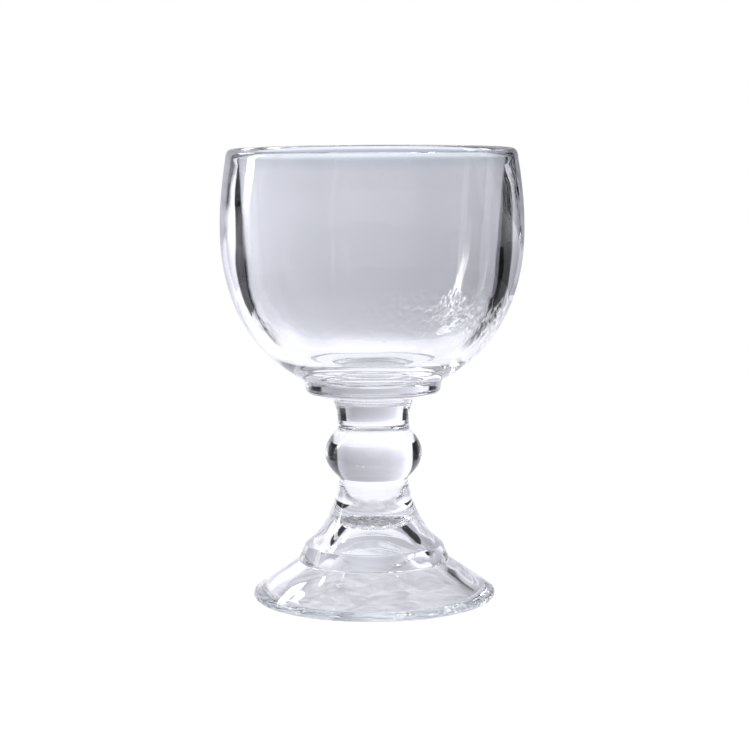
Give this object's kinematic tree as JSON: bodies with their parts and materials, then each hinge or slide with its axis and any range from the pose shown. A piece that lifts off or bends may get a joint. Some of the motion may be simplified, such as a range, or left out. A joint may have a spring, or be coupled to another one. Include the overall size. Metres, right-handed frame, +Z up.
{
  "type": "schooner glass",
  "caption": "Heavy clear pressed-glass goblet: thick round bowl on a saucer pad, waisted neck, ball knop and flared hollow foot, for serving beer.",
  "frame": {"origin": "on the table surface, under the middle of the foot", "axes": "+Z up along the axis of the glass, from the foot to the rim; the glass is round, so +X and +Y are free"},
  "size_m": [0.1102, 0.1102, 0.1644],
  "materials": {
    "clear_glass": "fire-polished clear soda-lime glass with faint mould waviness and a slight green-blue cast where it is thick"
  },
  "bodies": {
    "root": {"foot": "clear_glass", "knop": "clear_glass", "neck": "clear_glass", "merese": "clear_glass", "bowl": "clear_glass"}
  },
  "joints": []
}
